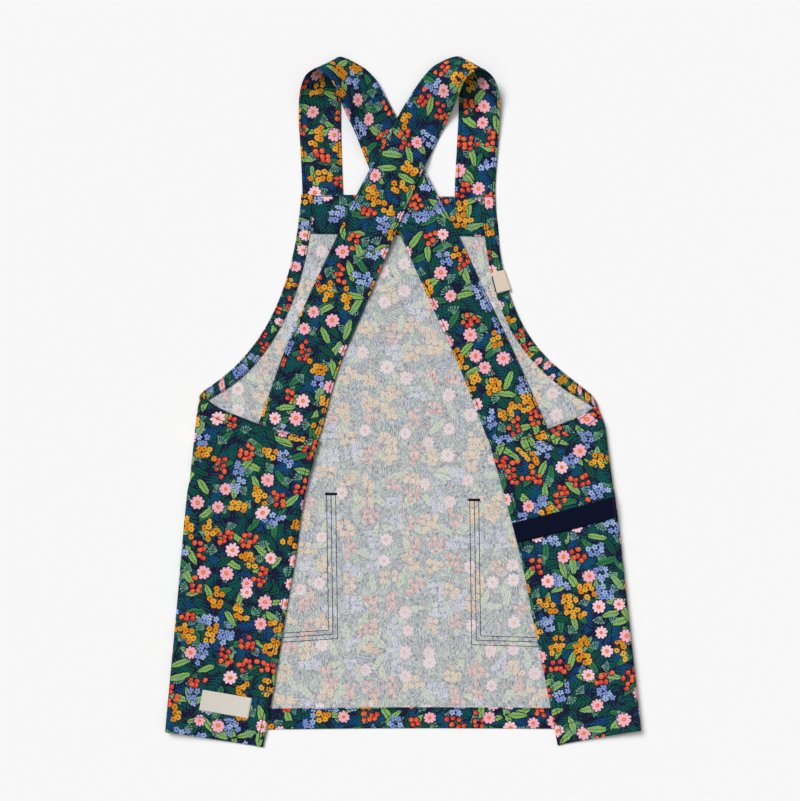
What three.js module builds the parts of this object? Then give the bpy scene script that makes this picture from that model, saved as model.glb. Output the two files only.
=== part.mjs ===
// A cross-back smock, laid out flat on its front so that its back is up.
// Millimetres. +Z is up, +Y runs towards the shoulders, +X to the right of someone looking down on it.
// The origin is on the ground under the middle of the whole outline.
import * as THREE from 'three';
import { mergeVertices } from 'three/addons/utils/BufferGeometryUtils.js';

// Cloth: one layer, the doubled cloth of the straps, and the air between layers that are sewn together.
const CLOTH = 1.0;
const STRAP_CLOTH = 2.0;
const GAP = 0.3;
const LAYER = CLOTH + GAP;

// Heights of the back wings above the ground: along the side folds, and where they lie on the front.
const FOLD_LOFT = 14;
const WING_REST = 6.8;

// Finished edges.
const HEM_DEPTH = 26;
const ARMHOLE_STRIP = 16.5;
const BIB_FACING_DEPTH = 50;

// The two halves of the cut cloth as it lies. Each side runs from the bib corner, down the armhole (a
// curve with two handles) to the underarm end of the side fold, and round the fold onto a back wing.
const LEFT = {
  inward: 1,
  bibCorner: [-130.4, 263.5],
  armholeHandles: [[-140.7, 120.4], [-192.8, 52.9]],
  foldTop: [-260.4, 7.6],
  foldBottom: [-302.9, -418.5],
  foldBulge: 3,
  wingTop: [-108, -48.9],
  wingBottom: [-180, -438.5],
  wingEdgeBulge: 1,
  wingTopSag: 7.5,
};
const RIGHT = {
  inward: -1,
  bibCorner: [116.8, 259.7],
  armholeHandles: [[119.1, 69.3], [198.7, 45.5]],
  foldTop: [251.5, -3.2],
  foldBottom: [301.6, -416.6],
  foldBulge: 5,
  wingTop: [109.2, -57.8],
  wingBottom: [195.3, -435.9],
  wingEdgeBulge: 4,
  wingTopSag: 6,
};

// Patch pockets on the outer face of the front: inner edge, mouth, bottom, and the way to the side fold.
const POCKETS = [
  { name: 'pocket_left', side: LEFT, inner: -85.5, mouth: -116, bottom: -303 },
  { name: 'pocket_right', side: RIGHT, inner: 82, mouth: -125, bottom: -310.5 },
];
const POCKET_TO_FOLD = 14;

// Trim: the tape across the right wing and the label on the left one are given by how far they lie
// along the wing (0 at its top edge, 1 at its hem) and across it (0 at the fold, 1 at the free edge).
const TOWEL_LOOP = { alongAtFold: 0.32, alongAtEdge: 0.289, width: 23, lastAcross: 0.985 };
const LABEL = { along: 0.884, across: 0.59, width: 62.5, height: 24.5 };
const EDGE_TAB = { along: 0.24, reach: 15, length: 25, proud: 1.2 };

// Straps, as sections from the end sewn into the bib to the end sewn under the far wing: the middle of
// the section, its width, how far its cross line is turned from +X, and how far that line is tipped.
const STRAP_COLUMNS = ['x', 'y', 'z', 'width', 'turn', 'tip'];
const STRAP_LEFT = [
  [-103.5, 243.5, 2.3, 52, 0, 0],
  [-103.5, 263.5, 2.3, 52, 0, 0],
  [-104.1, 285, 1.3, 52, 0, 0],
  [-106.7, 332, 1.3, 52, 0, 0],
  [-108, 367.7, 1.5, 52, 0, 0],
  [-106.7, 395.6, 5, 52, 6, 5],
  [-104.1, 413.5, 13, 52, 18, 18],
  [-95.3, 422, 23, 53, 25, 24],
  [-81.3, 420.5, 30, 54, 22, 18],
  [-67.3, 410, 32, 55, 20, 8],
  [-54.6, 391.8, 27, 56, 24, 0],
  [-41.9, 365.1, 18.5, 57, 26, 0],
  [-25.4, 332.1, 11, 60, 26, 0],
  [-5.1, 291.5, 7, 64, 26, 0],
  [15.2, 248.3, 7.2, 66, 25.5, 0],
  [37.3, 200, 5.6, 68, 25, 0],
  [70, 129, 3.6, 69.5, 25, 0],
  [102.9, 57.8, 3.6, 71.6, 24.5, 0],
  [132.7, -13.3, 3.6, 75, 24, 0],
  [142, -35, 3.6, 76, 24, 0],
  [150, -54, 3.6, 76, 24, 0],
];
const STRAP_RIGHT = [
  [90.8, 240.5, 2.3, 52, 0, 0],
  [90.3, 260.5, 2.3, 52, 0, 0],
  [90.8, 282, 1.3, 52, 0, 0],
  [93.3, 325.8, 1.3, 52, 0, 0],
  [96.5, 365.1, 1.5, 52, 0, 0],
  [96.5, 393.1, 5, 52, -6, -5],
  [93.3, 412.1, 13, 52, -18, -18],
  [84.5, 421, 23, 53, -25, -24],
  [69.9, 420, 31, 54, -22, -18],
  [55.2, 409.5, 35, 55, -20, -8],
  [41.9, 391.8, 32, 57, -24, 0],
  [25.4, 362.6, 25, 59, -26, 0],
  [8.9, 329.6, 18, 62, -26, 0],
  [-8.9, 296.5, 13, 64, -26, 0],
  [-29.2, 252.1, 10.5, 65, -25, 0],
  [-52.1, 201.3, 7.5, 67.5, -24, 0],
  [-84, 130, 3.8, 71, -23, 0],
  [-115.6, 57.8, 3.6, 73, -22, 0],
  [-138.4, -13.3, 3.6, 78, -20, 0],
  [-144, -30, 3.6, 80, -20, 0],
  [-150.5, -49, 3.6, 80, -20, 0],
];

// How finely each sheet is divided.
const WING_COLUMNS = 6;
const FOLD_COLUMNS = 4;
const ARMHOLE_COLUMNS = 9;
const BIB_COLUMNS = 12;
const BODY_ROWS = 24;
const TURN_ROWS = 4;
const HEM_ROWS = 2;
const STRAP_LENGTHS = 56;
const STRAP_WIDTHS = 4;

const { lerp, smoothstep, degToRad, clamp } = THREE.MathUtils;
const point2 = ([x, y]) => new THREE.Vector2(x, y);

// A closed sheet of cloth: a thin box whose vertices are moved to their places on a draped surface.
// place(across, along) gives the middle of the cloth, with both numbers running from 0 to 1.
function sheet(columns, rows, thickness, place) {
  const box = new THREE.BoxGeometry(1, 1, 1, columns, rows, 1);
  const position = box.attributes.position;
  const step = 1e-4;
  for (let i = 0; i < position.count; i += 1) {
    const across = position.getX(i) + 0.5;
    const along = 0.5 - position.getY(i);
    const face = position.getZ(i) * thickness;
    const span = place(Math.min(across + step, 1), along).sub(place(Math.max(across - step, 0), along));
    const fall = place(across, Math.min(along + step, 1)).sub(place(across, Math.max(along - step, 0)));
    const normal = fall.cross(span).normalize();
    const moved = place(across, along).addScaledVector(normal, face);
    position.setXYZ(i, moved.x, moved.y, moved.z);
  }
  box.deleteAttribute('normal');
  box.deleteAttribute('uv');
  const closed = mergeVertices(box, 1e-3);
  closed.computeVertexNormals();
  return closed;
}

// 1 inside a rectangle and up to its margin away from it, easing to 0 further out.
function nearBox(x, y, box) {
  const dx = Math.max(box.left - x, x - box.right, 0);
  const dy = Math.max(box.bottom - y, y - box.top, 0);
  return 1 - smoothstep(Math.hypot(dx, dy), box.margin, box.margin + box.ease);
}

// The side fold seen from above: a line from the underarm to the hem that bows out a little.
function foldAt(side, along) {
  const fold = point2(side.foldTop).lerp(point2(side.foldBottom), along);
  fold.x -= side.inward * side.foldBulge * Math.sin(Math.PI * along);
  return fold;
}

// The armhole edge of the front, from the bib corner to the start of the rounded side fold.
function armhole(side) {
  const [upper, lower] = side.armholeHandles;
  const end = point2(side.foldTop);
  end.x += side.inward * FOLD_LOFT / 2;
  return new THREE.CubicBezierCurve(point2(side.bibCorner), point2(upper), point2(lower), end);
}
const ARMHOLES = new Map([[LEFT, armhole(LEFT)], [RIGHT, armhole(RIGHT)]]);

// The armhole edge at a given height, found by halving the stretch of the curve that holds it.
const HALVINGS = 24;
function armholeAtHeight(side, y) {
  const curve = ARMHOLES.get(side);
  let [upper, lower] = [0, 1];
  for (let halving = 0; halving < HALVINGS; halving += 1) {
    const middle = (upper + lower) / 2;
    if (curve.getPoint(middle).y > y) {
      upper = middle;
    } else {
      lower = middle;
    }
  }
  return curve.getPoint(upper);
}

// The front lies on the ground, lifted only by what is sewn to its outer face.
const TAB_POINT = ARMHOLES.get(RIGHT).getPoint(EDGE_TAB.along);
const LIFTING = POCKETS.map((pocket) => {
  const outer = pocket.side.foldBottom[0];
  return {
    left: Math.min(pocket.inner, outer),
    right: Math.max(pocket.inner, outer),
    bottom: pocket.bottom,
    top: pocket.mouth,
    margin: 26,
    ease: 40,
  };
});
LIFTING.push({
  left: TAB_POINT.x - EDGE_TAB.reach,
  right: TAB_POINT.x + EDGE_TAB.reach,
  bottom: TAB_POINT.y - EDGE_TAB.length / 2,
  top: TAB_POINT.y + EDGE_TAB.length / 2,
  margin: 18,
  ease: 50,
});

function frontHeight(x, y) {
  const near = LIFTING.map((box) => nearBox(x, y, box));
  return CLOTH / 2 + LAYER * Math.max(...near);
}

function wingHeight(across) {
  return WING_REST + (FOLD_LOFT - WING_REST) * (1 - across) ** 2;
}

// A point of a back wing, across from the fold to the free edge and along from the top to the hem.
function wingPoint(side, across, along) {
  const start = foldAt(side, along);
  start.x += side.inward * foldRadius(side, along);
  const edge = point2(side.wingTop).lerp(point2(side.wingBottom), along);
  edge.x += side.inward * side.wingEdgeBulge * Math.sin(Math.PI * along);
  const flat = start.lerp(edge, across);
  const sag = side.wingTopSag * 4 * across * (1 - across) * (1 - along);
  return new THREE.Vector3(flat.x, flat.y - sag, wingHeight(across));
}

function foldRadius(side, along) {
  const fold = foldAt(side, along);
  return (FOLD_LOFT - frontHeight(fold.x, fold.y)) / 2;
}

// A point of the rounded side fold: turn is 0 on the front and 1 on the wing.
function foldPoint(side, turn, along) {
  const fold = foldAt(side, along);
  const radius = foldRadius(side, along);
  const angle = Math.PI * (turn - 0.5);
  const x = fold.x + side.inward * radius * (1 - Math.cos(angle));
  return new THREE.Vector3(x, fold.y, FOLD_LOFT - radius + radius * Math.sin(angle));
}

// The top edge of the front, counted in columns: up one armhole, along the bib and down the other.
const FRONT_COLUMNS = 2 * ARMHOLE_COLUMNS + BIB_COLUMNS;
function frontTop(column) {
  if (column < ARMHOLE_COLUMNS) {
    return ARMHOLES.get(LEFT).getPoint(1 - column / ARMHOLE_COLUMNS);
  }
  const rest = column - ARMHOLE_COLUMNS;
  if (rest <= BIB_COLUMNS) {
    return point2(LEFT.bibCorner).lerp(point2(RIGHT.bibCorner), rest / BIB_COLUMNS);
  }
  return ARMHOLES.get(RIGHT).getPoint((rest - BIB_COLUMNS) / ARMHOLE_COLUMNS);
}

// How far the front's edge at a side fold stands from the straight line between its ends.
function foldBow(side, along) {
  return foldPoint(side, 0, along).x - lerp(foldPoint(side, 0, 0).x, foldPoint(side, 0, 1).x, along);
}

function frontPoint(column, along) {
  const share = column / FRONT_COLUMNS;
  const foot = foldPoint(LEFT, 0, 1).lerp(foldPoint(RIGHT, 0, 1), share);
  const flat = frontTop(column).lerp(foot, along);
  flat.x += lerp(foldBow(LEFT, along), foldBow(RIGHT, along), share);
  return new THREE.Vector3(flat.x, flat.y, frontHeight(flat.x, flat.y));
}

// The whole cut cloth: left wing, left fold, front, right fold and right wing, column by column.
const BODY_COLUMNS = 2 * (WING_COLUMNS + FOLD_COLUMNS) + FRONT_COLUMNS;
function clothPoint(column, along) {
  const half = BODY_COLUMNS / 2;
  const side = column < half ? LEFT : RIGHT;
  const fromEdge = half - Math.abs(column - half);
  if (fromEdge <= WING_COLUMNS) {
    return wingPoint(side, 1 - fromEdge / WING_COLUMNS, along);
  }
  if (fromEdge < WING_COLUMNS + FOLD_COLUMNS) {
    return foldPoint(side, 1 - (fromEdge - WING_COLUMNS) / FOLD_COLUMNS, along);
  }
  return frontPoint(column - WING_COLUMNS - FOLD_COLUMNS, along);
}

// The column of a place on a wing or on the upper half of its fold, with across below 0 on the fold.
function wingColumn(side, across) {
  const columns = across < 0 ? FOLD_COLUMNS : WING_COLUMNS;
  const fromEdge = WING_COLUMNS - across * columns;
  return side === LEFT ? fromEdge : BODY_COLUMNS - fromEdge;
}

function clothNormal(column, along) {
  const step = 1e-3;
  const span = clothPoint(Math.min(column + step, BODY_COLUMNS), along);
  span.sub(clothPoint(Math.max(column - step, 0), along));
  const fall = clothPoint(column, Math.min(along + step, 1));
  fall.sub(clothPoint(column, Math.max(along - step, 0)));
  return span.cross(fall).normalize();
}

// A point beside the cloth: offset is outwards, towards the printed face.
function besideCloth(column, along, offset) {
  return clothPoint(column, along).addScaledVector(clothNormal(column, along), offset);
}

function columnLength(column) {
  return clothPoint(column, 0).distanceTo(clothPoint(column, 1));
}

// Body: the cut cloth with its lower edge turned up to the inside as a hem.
function bodyPoint(across, along) {
  const column = across * BODY_COLUMNS;
  const row = along * (BODY_ROWS + TURN_ROWS + HEM_ROWS);
  if (row <= BODY_ROWS) {
    return clothPoint(column, row / BODY_ROWS);
  }
  const inside = clothNormal(column, 1).negate();
  const turned = row - BODY_ROWS;
  if (turned <= TURN_ROWS) {
    const angle = Math.PI * turned / TURN_ROWS;
    const down = clothPoint(column, 1).sub(clothPoint(column, 1 - 1 / BODY_ROWS)).normalize();
    const place = clothPoint(column, 1).addScaledVector(down, LAYER / 2 * Math.sin(angle));
    return place.addScaledVector(inside, LAYER / 2 * (1 - Math.cos(angle)));
  }
  const rise = HEM_DEPTH * (turned - TURN_ROWS) / HEM_ROWS;
  return besideCloth(column, 1 - rise / columnLength(column), -LAYER);
}

// Facings rise over the strap ends that are sewn in between them and the bib.
const STRAP_ENDS = [STRAP_LEFT, STRAP_RIGHT].map(([first, second]) => ({
  left: first[0] - first[3] / 2,
  right: first[0] + first[3] / 2,
  bottom: first[1],
  top: second[1],
  margin: 14,
  ease: 12,
}));
function facingHeight(x, y) {
  const near = STRAP_ENDS.map((box) => nearBox(x, y, box));
  return frontHeight(x, y) + LAYER + (STRAP_CLOTH + GAP) * Math.max(...near);
}

// Armhole facing: a bias strip on the inside, from the bib corner round the fold to the free edge.
const STRIP_COLUMNS = 2;
const STRIP_FRONT = 16;
const STRIP_FOLD = 4;
const STRIP_WING = 6;
const STRIP_STEPS = STRIP_FRONT + STRIP_FOLD + STRIP_WING;
const STRIP_SWINGS_AT = 0.7;
function stripPoint(side, across, along) {
  const step = along * STRIP_STEPS;
  const depth = across * ARMHOLE_STRIP;
  if (step <= STRIP_FRONT) {
    const curve = ARMHOLES.get(side);
    const share = step / STRIP_FRONT;
    const edge = curve.getPoint(share);
    const tangent = curve.getTangent(share);
    const square = new THREE.Vector2(-tangent.y * side.inward, tangent.x * side.inward);
    const down = point2(side.foldBottom).sub(point2(side.foldTop)).normalize();
    const inwards = square.lerp(down, smoothstep(share, STRIP_SWINGS_AT, 1)).normalize();
    const flat = edge.addScaledVector(inwards, depth);
    return new THREE.Vector3(flat.x, flat.y, facingHeight(flat.x, flat.y));
  }
  const past = step - STRIP_FRONT;
  const reach = past <= STRIP_FOLD ? past / STRIP_FOLD - 1 : (past - STRIP_FOLD) / STRIP_WING;
  const column = wingColumn(side, reach);
  return besideCloth(column, depth / columnLength(column), -LAYER);
}

// Bib facing: a band across the inside of the bib, between the two armhole strips.
const FACING_COLUMNS = 20;
const FACING_ROWS = 4;
function bibFacingPoint(across, along) {
  const depth = along * BIB_FACING_DEPTH;
  const ends = [LEFT, RIGHT].map((side) => {
    const y = side.bibCorner[1] - depth;
    const edge = armholeAtHeight(side, y);
    return new THREE.Vector2(edge.x + side.inward * (ARMHOLE_STRIP + 3 * GAP), y);
  });
  const flat = ends[0].lerp(ends[1], across);
  return new THREE.Vector3(flat.x, flat.y, facingHeight(flat.x, flat.y));
}

// Strap: a flared band swept through its sections.
function strapPlace(rows) {
  const sections = rows.map((row) => Object.fromEntries(row.map((value, i) => [STRAP_COLUMNS[i], value])));
  const middles = sections.map(({ x, y, z }) => new THREE.Vector3(x, y, z));
  const forms = sections.map(({ width, turn, tip }) => {
    return new THREE.Vector3(width, degToRad(turn), degToRad(tip));
  });
  const route = new THREE.CatmullRomCurve3(middles, false, 'catmullrom');
  const form = new THREE.CatmullRomCurve3(forms, false, 'catmullrom');
  return (across, along) => {
    const middle = route.getPoint(along);
    const { x: width, y: turn, z: tip } = form.getPoint(along);
    const level = Math.cos(tip);
    const crossLine = new THREE.Vector3(Math.cos(turn) * level, Math.sin(turn) * level, Math.sin(tip));
    const place = middle.addScaledVector(crossLine, (across - 0.5) * width);
    place.z = Math.max(place.z, STRAP_CLOTH / 2);
    return place;
  };
}

// Pocket: a flat patch with its outer edge cut along the side fold.
function pocketGeometry({ side, inner, mouth, bottom }) {
  const along = (y) => (side.foldTop[1] - y) / (side.foldTop[1] - side.foldBottom[1]);
  const outer = (y) => foldAt(side, along(y)).x + side.inward * POCKET_TO_FOLD;
  const corners = [[inner, mouth], [outer(mouth), mouth], [outer(bottom), bottom], [inner, bottom]];
  const outline = new THREE.Shape(corners.map(point2));
  return new THREE.ExtrudeGeometry(outline, { depth: CLOTH, bevelEnabled: false });
}

// Towel loop: a tape laid across the right wing, from its free edge to the outside of the fold.
const LOOP_COLUMNS = 2;
const LOOP_STEPS = 16;
const LOOP_ON_FOLD = 0.45;
function towelLoopPoint(across, along) {
  const side = RIGHT;
  const place = lerp(TOWEL_LOOP.lastAcross, -LOOP_ON_FOLD, along);
  const centre = lerp(TOWEL_LOOP.alongAtFold, TOWEL_LOOP.alongAtEdge, clamp(place, 0, 1));
  const column = wingColumn(side, place);
  const half = TOWEL_LOOP.width / 2 / columnLength(column);
  return besideCloth(column, lerp(centre + half, centre - half, across), LAYER);
}

// Label: a small patch on the left wing, square to its hem.
const LABEL_COLUMNS = 3;
const LABEL_ROWS = 2;
function labelPoint(across, along) {
  const wingWidth = wingPoint(LEFT, 0, LABEL.along).distanceTo(wingPoint(LEFT, 1, LABEL.along));
  const place = LABEL.across + (across - 0.5) * LABEL.width / wingWidth;
  const column = wingColumn(LEFT, place);
  return besideCloth(column, LABEL.along + (along - 0.5) * LABEL.height / columnLength(column), LAYER);
}

// Edge tab: a short tape folded round the armhole edge and its facing, as a U with two flat legs.
function edgeTabGeometry() {
  const held = 2 * CLOTH + 3 * GAP;
  const legEnd = EDGE_TAB.reach;
  const bend = -EDGE_TAB.proud;
  const outline = [
    [legEnd, 0], [bend - CLOTH, 0], [bend - CLOTH, held + 2 * CLOTH], [legEnd, held + 2 * CLOTH],
    [legEnd, held + CLOTH], [bend, held + CLOTH], [bend, CLOTH], [legEnd, CLOTH],
  ];
  const shape = new THREE.Shape(outline.map(point2));
  const tab = new THREE.ExtrudeGeometry(shape, { depth: EDGE_TAB.length, bevelEnabled: false });
  const tangent = ARMHOLES.get(RIGHT).getTangent(EDGE_TAB.along);
  const inward = new THREE.Vector3(tangent.y, -tangent.x, 0);
  const up = new THREE.Vector3(0, 0, 1);
  const edge = new THREE.Vector3().crossVectors(inward, up);
  tab.translate(0, 0, -EDGE_TAB.length / 2);
  tab.applyMatrix4(new THREE.Matrix4().makeBasis(inward, up, edge));
  tab.translate(TAB_POINT.x, TAB_POINT.y, 0);
  return tab;
}

// The pieces, each with its own finish.
const printedCloth = (color) => new THREE.MeshStandardMaterial({ color, roughness: 0.85, metalness: 0 });
const smock = new THREE.Group();
function addPiece(name, geometry, material) {
  const piece = new THREE.Mesh(geometry, material);
  piece.name = name;
  smock.add(piece);
}

const bodyRows = BODY_ROWS + TURN_ROWS + HEM_ROWS;
addPiece('body', sheet(BODY_COLUMNS, bodyRows, CLOTH, bodyPoint), printedCloth('#3c5560'));
for (const [name, side] of [['left', LEFT], ['right', RIGHT]]) {
  const [first, second] = side === LEFT ? [0, 1] : [1, 0];
  const place = (across, along) => stripPoint(side, lerp(first, second, across), along);
  const strip = sheet(STRIP_COLUMNS, STRIP_STEPS, CLOTH, place);
  addPiece(`armhole_facing_${name}`, strip, printedCloth('#35505c'));
}
addPiece('bib_facing', sheet(FACING_COLUMNS, FACING_ROWS, CLOTH, bibFacingPoint), printedCloth('#3f5a62'));
for (const [name, rows] of [['strap_left', STRAP_LEFT], ['strap_right', STRAP_RIGHT]]) {
  const place = strapPlace(rows);
  addPiece(name, sheet(STRAP_WIDTHS, STRAP_LENGTHS, STRAP_CLOTH, place), printedCloth('#3a5562'));
}
for (const pocket of POCKETS) {
  addPiece(pocket.name, pocketGeometry(pocket), printedCloth('#405a62'));
}
addPiece('towel_loop', sheet(LOOP_COLUMNS, LOOP_STEPS, CLOTH, towelLoopPoint), printedCloth('#171b38'));
addPiece('label', sheet(LABEL_COLUMNS, LABEL_ROWS, CLOTH, labelPoint), printedCloth('#dfcfbb'));
addPiece('edge_tab', edgeTabGeometry(), printedCloth('#e2d2bd'));

export default smock;
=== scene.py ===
"""A cross-back smock of printed cotton canvas, laid flat on its front so that its back is up.

Metres. +Z is up, +Y runs towards the shoulders, +X to the right of someone looking down on it.
"""
import math
from collections import namedtuple
from types import SimpleNamespace

import bmesh
import bpy
import numpy as np
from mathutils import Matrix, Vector


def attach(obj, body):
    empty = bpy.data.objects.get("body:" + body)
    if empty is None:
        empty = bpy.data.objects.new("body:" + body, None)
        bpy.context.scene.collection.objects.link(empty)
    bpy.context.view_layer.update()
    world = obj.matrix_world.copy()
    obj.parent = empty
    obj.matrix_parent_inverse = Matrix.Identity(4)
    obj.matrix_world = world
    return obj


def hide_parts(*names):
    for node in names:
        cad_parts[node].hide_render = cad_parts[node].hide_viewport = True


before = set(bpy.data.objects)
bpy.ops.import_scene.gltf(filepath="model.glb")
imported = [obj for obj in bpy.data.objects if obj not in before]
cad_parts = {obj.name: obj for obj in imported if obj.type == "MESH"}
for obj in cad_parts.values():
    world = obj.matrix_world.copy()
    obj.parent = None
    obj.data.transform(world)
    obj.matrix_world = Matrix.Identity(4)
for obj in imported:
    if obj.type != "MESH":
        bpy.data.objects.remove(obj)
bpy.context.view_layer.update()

# Body cloth
# The front panel and both back wings are one cut of printed cotton canvas, folded over at the sides
# without a seam. The front lies face down, so its pale wrong side shows between the wings, and the
# lower edge is turned up to the inside as a hem.
CANVAS = 0.0008
LAYER = 0.0013
FRONT_REST = 0.0005
FOLD_LOFT = 0.0105
HEM_LOFT = 0.0025
WING_OVER_STRAP = 0.0068
WING_REST = 0.0040
WING_RIPPLE = 0.00035
WING_DROP = 0.004
HEM_SINK = 0.0016
HEM_ARCH = 0.003
HEM_DEPTH = 0.026
SIDE_HEM = 0.009
HEM_TIMES_THICKER = 1.8
NEAR_HEM = 0.98
FOLD_OPENS_FROM = 0.55
PUSH_RISES_OVER = 0.05
PUSH_ENDS = 0.75
TUCK_ENDS = 0.075
SLANT_ENDS = 0.25
DROP_REACH = 0.13
STRAP_LIFTS_WING = (0.10, 0.32)
HEM_SINKS_BETWEEN = (0.4165, 0.434)
LONG_WAVE = (17, 31)
SHORT_WAVE = (-29, 53)
SHORT_WAVE_SHARE = 0.7
RIPPLE_FADES_IN = 0.35

LEFT = SimpleNamespace(
    name="left",
    inward=1,
    bib_corner=(-0.1304, 0.2635),
    armhole_handles=((-0.1407, 0.1204), (-0.1928, 0.0529)),
    fold_top=(-0.2604, 0.0076),
    fold_bottom=(-0.3029, -0.4185),
    fold_bow=0.0008,
    fold_tuck=0.0012,
    front_tilt=0.0067,
    wing_tilt=-0.002,
    wing_edge=(
        (-0.1080, -0.0489),
        (-0.1275, -0.1269),
        (-0.1386, -0.2047),
        (-0.1524, -0.2827),
        (-0.1648, -0.3606),
        (-0.1791, -0.4385),
    ),
    wing_top_sag=0.0057,
    pocket_inner=-0.0855,
    pocket_mouth=-0.1175,
    pocket_bottom=-0.303,
    pocket_slope=0.066,
    pocket_push=0.0016,
)
RIGHT = SimpleNamespace(
    name="right",
    inward=-1,
    bib_corner=(0.1160, 0.2597),
    armhole_handles=((0.1212, 0.0693), (0.1987, 0.0455)),
    fold_top=(0.2515, -0.0032),
    fold_bottom=(0.3006, -0.4166),
    fold_bow=0.0012,
    fold_tuck=0.0067,
    front_tilt=0.0108,
    wing_tilt=-0.0045,
    wing_edge=(
        (0.1099, -0.0589),
        (0.1316, -0.1344),
        (0.1506, -0.2097),
        (0.1655, -0.2851),
        (0.1808, -0.3604),
        (0.1951, -0.4359),
    ),
    wing_top_sag=0.002,
    pocket_inner=0.082,
    pocket_mouth=-0.125,
    pocket_bottom=-0.3105,
    pocket_slope=0.03,
    pocket_push=0.0016,
)
SIDES = (LEFT, RIGHT)
TAB_ALONG = 0.226
TAB_REACH = 0.015
TAB_LENGTH = 0.027

WING_COLUMNS = 30
FOLD_COLUMNS = 10
ARMHOLE_COLUMNS = 45
BIB_COLUMNS = 60
FRONT_COLUMNS = 2 * ARMHOLE_COLUMNS + BIB_COLUMNS
CLOTH_COLUMNS = 2 * (WING_COLUMNS + FOLD_COLUMNS) + FRONT_COLUMNS
CLOTH_ROWS = 110
TURN_ROWS = 6
HEM_ROWS = 6
BODY_ROWS = CLOTH_ROWS + TURN_ROWS + HEM_ROWS


def between(start, end, share):
    """The point that lies a share of the way from start to end."""
    start, end = np.asarray(start, float), np.asarray(end, float)
    return start + (end - start) * np.asarray(share, float)[..., None]


def ease(value, low, high):
    """0 below low, 1 above high and a smooth rise between them."""
    share = np.clip((np.asarray(value, float) - low) / (high - low), 0, 1)
    return share * share * (3 - 2 * share)


def smooth_through(knots, share):
    """A Catmull-Rom curve through the knots, with share from 0 at the first to 1 at the last."""
    knots = np.asarray(knots, float)
    padded = np.vstack([2 * knots[0] - knots[1], knots, 2 * knots[-1] - knots[-2]])
    spot = np.clip(np.asarray(share, float), 0, 1) * (len(knots) - 1)
    first = np.minimum(spot.astype(int), len(knots) - 2)
    t = (spot - first)[..., None]
    a, b, c, d = (padded[first + i] for i in range(4))
    return b + t / 2 * (c - a + t * (2 * a - 5 * b + 4 * c - d + t * (3 * (b - c) + d - a)))


def point(x, y, z):
    return np.stack(np.broadcast_arrays(x, y, z), axis=-1).astype(float)


def unit(vectors):
    return vectors / np.linalg.norm(vectors, axis=-1, keepdims=True)


def near_box(x, y, box):
    """1 in a rectangle and up to its margin away from it, easing to 0 further out."""
    dx = np.maximum(np.maximum(box.left - x, x - box.right), 0)
    dy = np.maximum(np.maximum(box.bottom - y, y - box.top), 0)
    return 1 - ease(np.hypot(dx, dy), box.margin, box.margin + box.slope)


def armhole(side, share):
    """The armhole edge of the front, from the bib corner to the start of the rounded side fold."""
    radius = (FOLD_LOFT - FRONT_REST) / 2
    end = np.add(side.fold_top, (side.inward * (side.fold_tuck + radius), side.front_tilt))
    knots = np.array([side.bib_corner, *side.armhole_handles, end])
    t = np.asarray(share, float)[..., None]
    weights = ((1 - t) ** 3, 3 * t * (1 - t) ** 2, 3 * t * t * (1 - t), t ** 3)
    return sum(weight * knot for weight, knot in zip(weights, knots))


def fold_loft(along):
    """How high a side fold stands, which opens a little towards the hem."""
    return FOLD_LOFT + HEM_LOFT * ease(along, FOLD_OPENS_FROM, 1.0)


def fold_at(side, along):
    """The side fold from above. It bows out a little, and more where the pocket's end is caught in it."""
    along = np.asarray(along, float)
    span = side.fold_top[1] - side.fold_bottom[1]
    mouth = (side.fold_top[1] - side.pocket_mouth) / span
    push = ease(along, mouth - PUSH_RISES_OVER, mouth) * (1 - ease(along, mouth, PUSH_ENDS))
    tuck = side.fold_tuck * (1 - ease(along, 0.0, TUCK_ENDS))
    out = side.fold_bow * np.sin(np.pi * along) + side.pocket_push * push - tuck
    fold = between(side.fold_top, side.fold_bottom, along)
    return fold - side.inward * np.stack([out, 0 * out], axis=-1)


# Where the front is lifted off the ground by a pocket or by the tab under it.
tab_point = armhole(RIGHT, TAB_ALONG)
LIFTS = [
    SimpleNamespace(
        left=min(side.pocket_inner, side.fold_bottom[0]),
        right=max(side.pocket_inner, side.fold_bottom[0]),
        bottom=side.pocket_bottom,
        top=side.pocket_mouth,
        margin=0.026,
        slope=0.040,
    )
    for side in SIDES
]
LIFTS.append(
    SimpleNamespace(
        left=tab_point[0] - TAB_REACH,
        right=tab_point[0] + TAB_REACH,
        bottom=tab_point[1] - TAB_LENGTH / 2,
        top=tab_point[1] + TAB_LENGTH / 2,
        margin=0.018,
        slope=0.050,
    )
)


def front_height(x, y):
    lifted = np.max([near_box(x, y, box) for box in LIFTS], axis=0)
    return FRONT_REST + LAYER * lifted


def fold_radius(side, along):
    fold = fold_at(side, along)
    edge = fold[..., 0] + side.inward * (fold_loft(along) - FRONT_REST) / 2
    return (fold_loft(along) - front_height(edge, fold[..., 1])) / 2


def fold_tilt(side, turn, along):
    """The top end of the fold slants, higher on the front and lower on the wing."""
    tilt = side.front_tilt * max(1 - 2 * turn, 0) + side.wing_tilt * max(2 * turn - 1, 0)
    return tilt * (1 - ease(along, 0.0, SLANT_ENDS))


def fold_point(side, turn, along):
    """A point of the rounded side fold: turn is 0 on the front and 1 on the wing."""
    fold = fold_at(side, along)
    radius = fold_radius(side, along)
    angle = np.pi * (turn - 0.5)
    x = fold[..., 0] + side.inward * radius * (1 - np.cos(angle))
    y = fold[..., 1] + fold_tilt(side, turn, along)
    return point(x, y, fold_loft(along) - radius + radius * np.sin(angle))


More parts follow.
